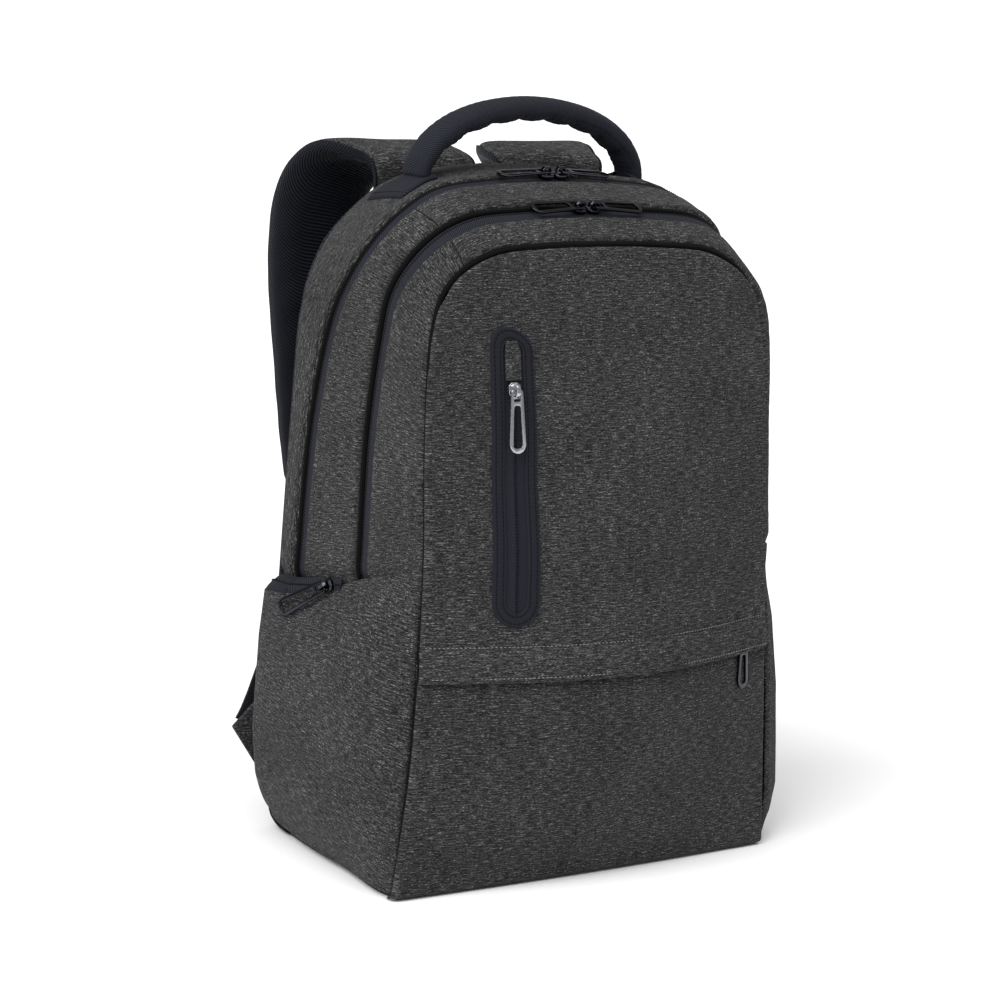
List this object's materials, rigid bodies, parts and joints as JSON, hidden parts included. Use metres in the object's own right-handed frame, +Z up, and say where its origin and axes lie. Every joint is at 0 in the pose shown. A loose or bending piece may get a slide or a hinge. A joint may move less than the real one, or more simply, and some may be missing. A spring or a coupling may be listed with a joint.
{
  "type": "laptop backpack",
  "caption": "Tall zipped laptop backpack with a bulging front, side pockets, an upright zip pocket, a padded carrying handle and curved shoulder straps.",
  "frame": {"origin": "middle of the flat of the base, where the bag stands on a surface", "axes": "+Z up through the top of the bag, -Y out of its front, +X to the right of one who faces the front"},
  "size_m": [0.354, 0.2694, 0.5169],
  "materials": {
    "heather_cloth": "dark grey melange cloth with short lighter flecks",
    "twill": "fine charcoal twill",
    "zip_tape": "charcoal woven tape with a nylon coil",
    "air_mesh": "black ribbed air mesh",
    "webbing": "black woven webbing",
    "silver_metal": "bright silver plate",
    "dark_metal": "glossy gunmetal plate",
    "black_plastic": "black moulded"
  },
  "bodies": {
    "bag": {"front_gusset_left": "heather_cloth", "front_gusset_top": "heather_cloth", "front_gusset_right": "heather_cloth", "mid_gusset_left": "heather_cloth", "mid_gusset_top": "heather_cloth", "mid_gusset_right": "heather_cloth", "rear_gusset": "heather_cloth", "front_zip": "zip_tape", "rear_zip": "zip_tape", "side_wall_left": "heather_cloth", "side_wall_right": "heather_cloth", "side_pocket_left": "heather_cloth", "side_pocket_right": "heather_cloth", "pocket_zip_left": "zip_tape", "pocket_zip_right": "zip_tape", "front_panel_upper": "heather_cloth", "front_panel_lower": "heather_cloth", "front_flap": "heather_cloth", "back_panel": "air_mesh", "base_panel": "heather_cloth", "zip_surround": "twill", "zip_tape": "zip_tape", "zip_garage": "heather_cloth", "front_zip_left_slider": "dark_metal", "front_zip_right_slider": "dark_metal", "rear_zip_left_slider": "dark_metal", "rear_zip_right_slider": "dark_metal", "upright_zip_slider": "silver_metal", "pocket_left_slider": "dark_metal", "pocket_right_slider": "dark_metal", "flap_tab": "dark_metal", "flap_slider": "dark_metal", "handle_grip": "twill", "handle_foot_left": "twill", "handle_foot_right": "twill", "strap_cover_left": "heather_cloth", "strap_cover_right": "heather_cloth", "strap_lining_left": "air_mesh", "strap_lining_right": "air_mesh", "strap_wing_left": "heather_cloth", "strap_wing_right": "heather_cloth", "lower_webbing_left": "webbing", "lower_webbing_right": "webbing", "strap_buckle_left": "black_plastic", "strap_buckle_right": "black_plastic"},
    "front_zip_left_tab": {"front_zip_left_tab": "dark_metal"},
    "front_zip_right_tab": {"front_zip_right_tab": "dark_metal"},
    "rear_zip_left_tab": {"rear_zip_left_tab": "dark_metal"},
    "rear_zip_right_tab": {"rear_zip_right_tab": "dark_metal"},
    "upright_zip_tab": {"upright_zip_tab": "silver_metal"},
    "pocket_left_tab": {"pocket_left_tab": "dark_metal"},
    "pocket_right_tab": {"pocket_right_tab": "dark_metal"}
  },
  "joints": [
    {"name": "front_zip_left_tab_hinge", "type": "hinge", "parent": "bag", "child": "front_zip_left_tab", "pos_m": [-0.00616, -0.0204, 0.45154], "axis": [-0.0295, 0.8748, 0.4836], "range_deg": [0, 100]},
    {"name": "front_zip_right_tab_hinge", "type": "hinge", "parent": "bag", "child": "front_zip_right_tab", "pos_m": [0.00616, -0.0204, 0.45154], "axis": [-0.0295, -0.8748, -0.4836], "range_deg": [0, 100]},
    {"name": "rear_zip_left_tab_hinge", "type": "hinge", "parent": "bag", "child": "rear_zip_left_tab", "pos_m": [-0.00621, 0.01873, 0.46933], "axis": [-0.0151, 0.9844, 0.1754], "range_deg": [0, 100]},
    {"name": "rear_zip_right_tab_hinge", "type": "hinge", "parent": "bag", "child": "rear_zip_right_tab", "pos_m": [0.00621, 0.01873, 0.46933], "axis": [-0.0151, -0.9844, -0.1754], "range_deg": [0, 100]},
    {"name": "upright_zip_tab_hinge", "type": "hinge", "parent": "bag", "child": "upright_zip_tab", "pos_m": [-0.08567, -0.06998, 0.3364], "axis": [-0.9956, 0.0933, -0.0125], "range_deg": [0, 130]},
    {"name": "pocket_left_tab_hinge", "type": "hinge", "parent": "bag", "child": "pocket_left_tab", "pos_m": [-0.15843, 0.02805, 0.18715], "axis": [-0.006, 0.5878, 0.809], "range_deg": [0, 95]},
    {"name": "pocket_right_tab_hinge", "type": "hinge", "parent": "bag", "child": "pocket_right_tab", "pos_m": [0.15843, 0.02805, 0.18715], "axis": [-0.006, -0.5878, -0.809], "range_deg": [0, 95]}
  ]
}
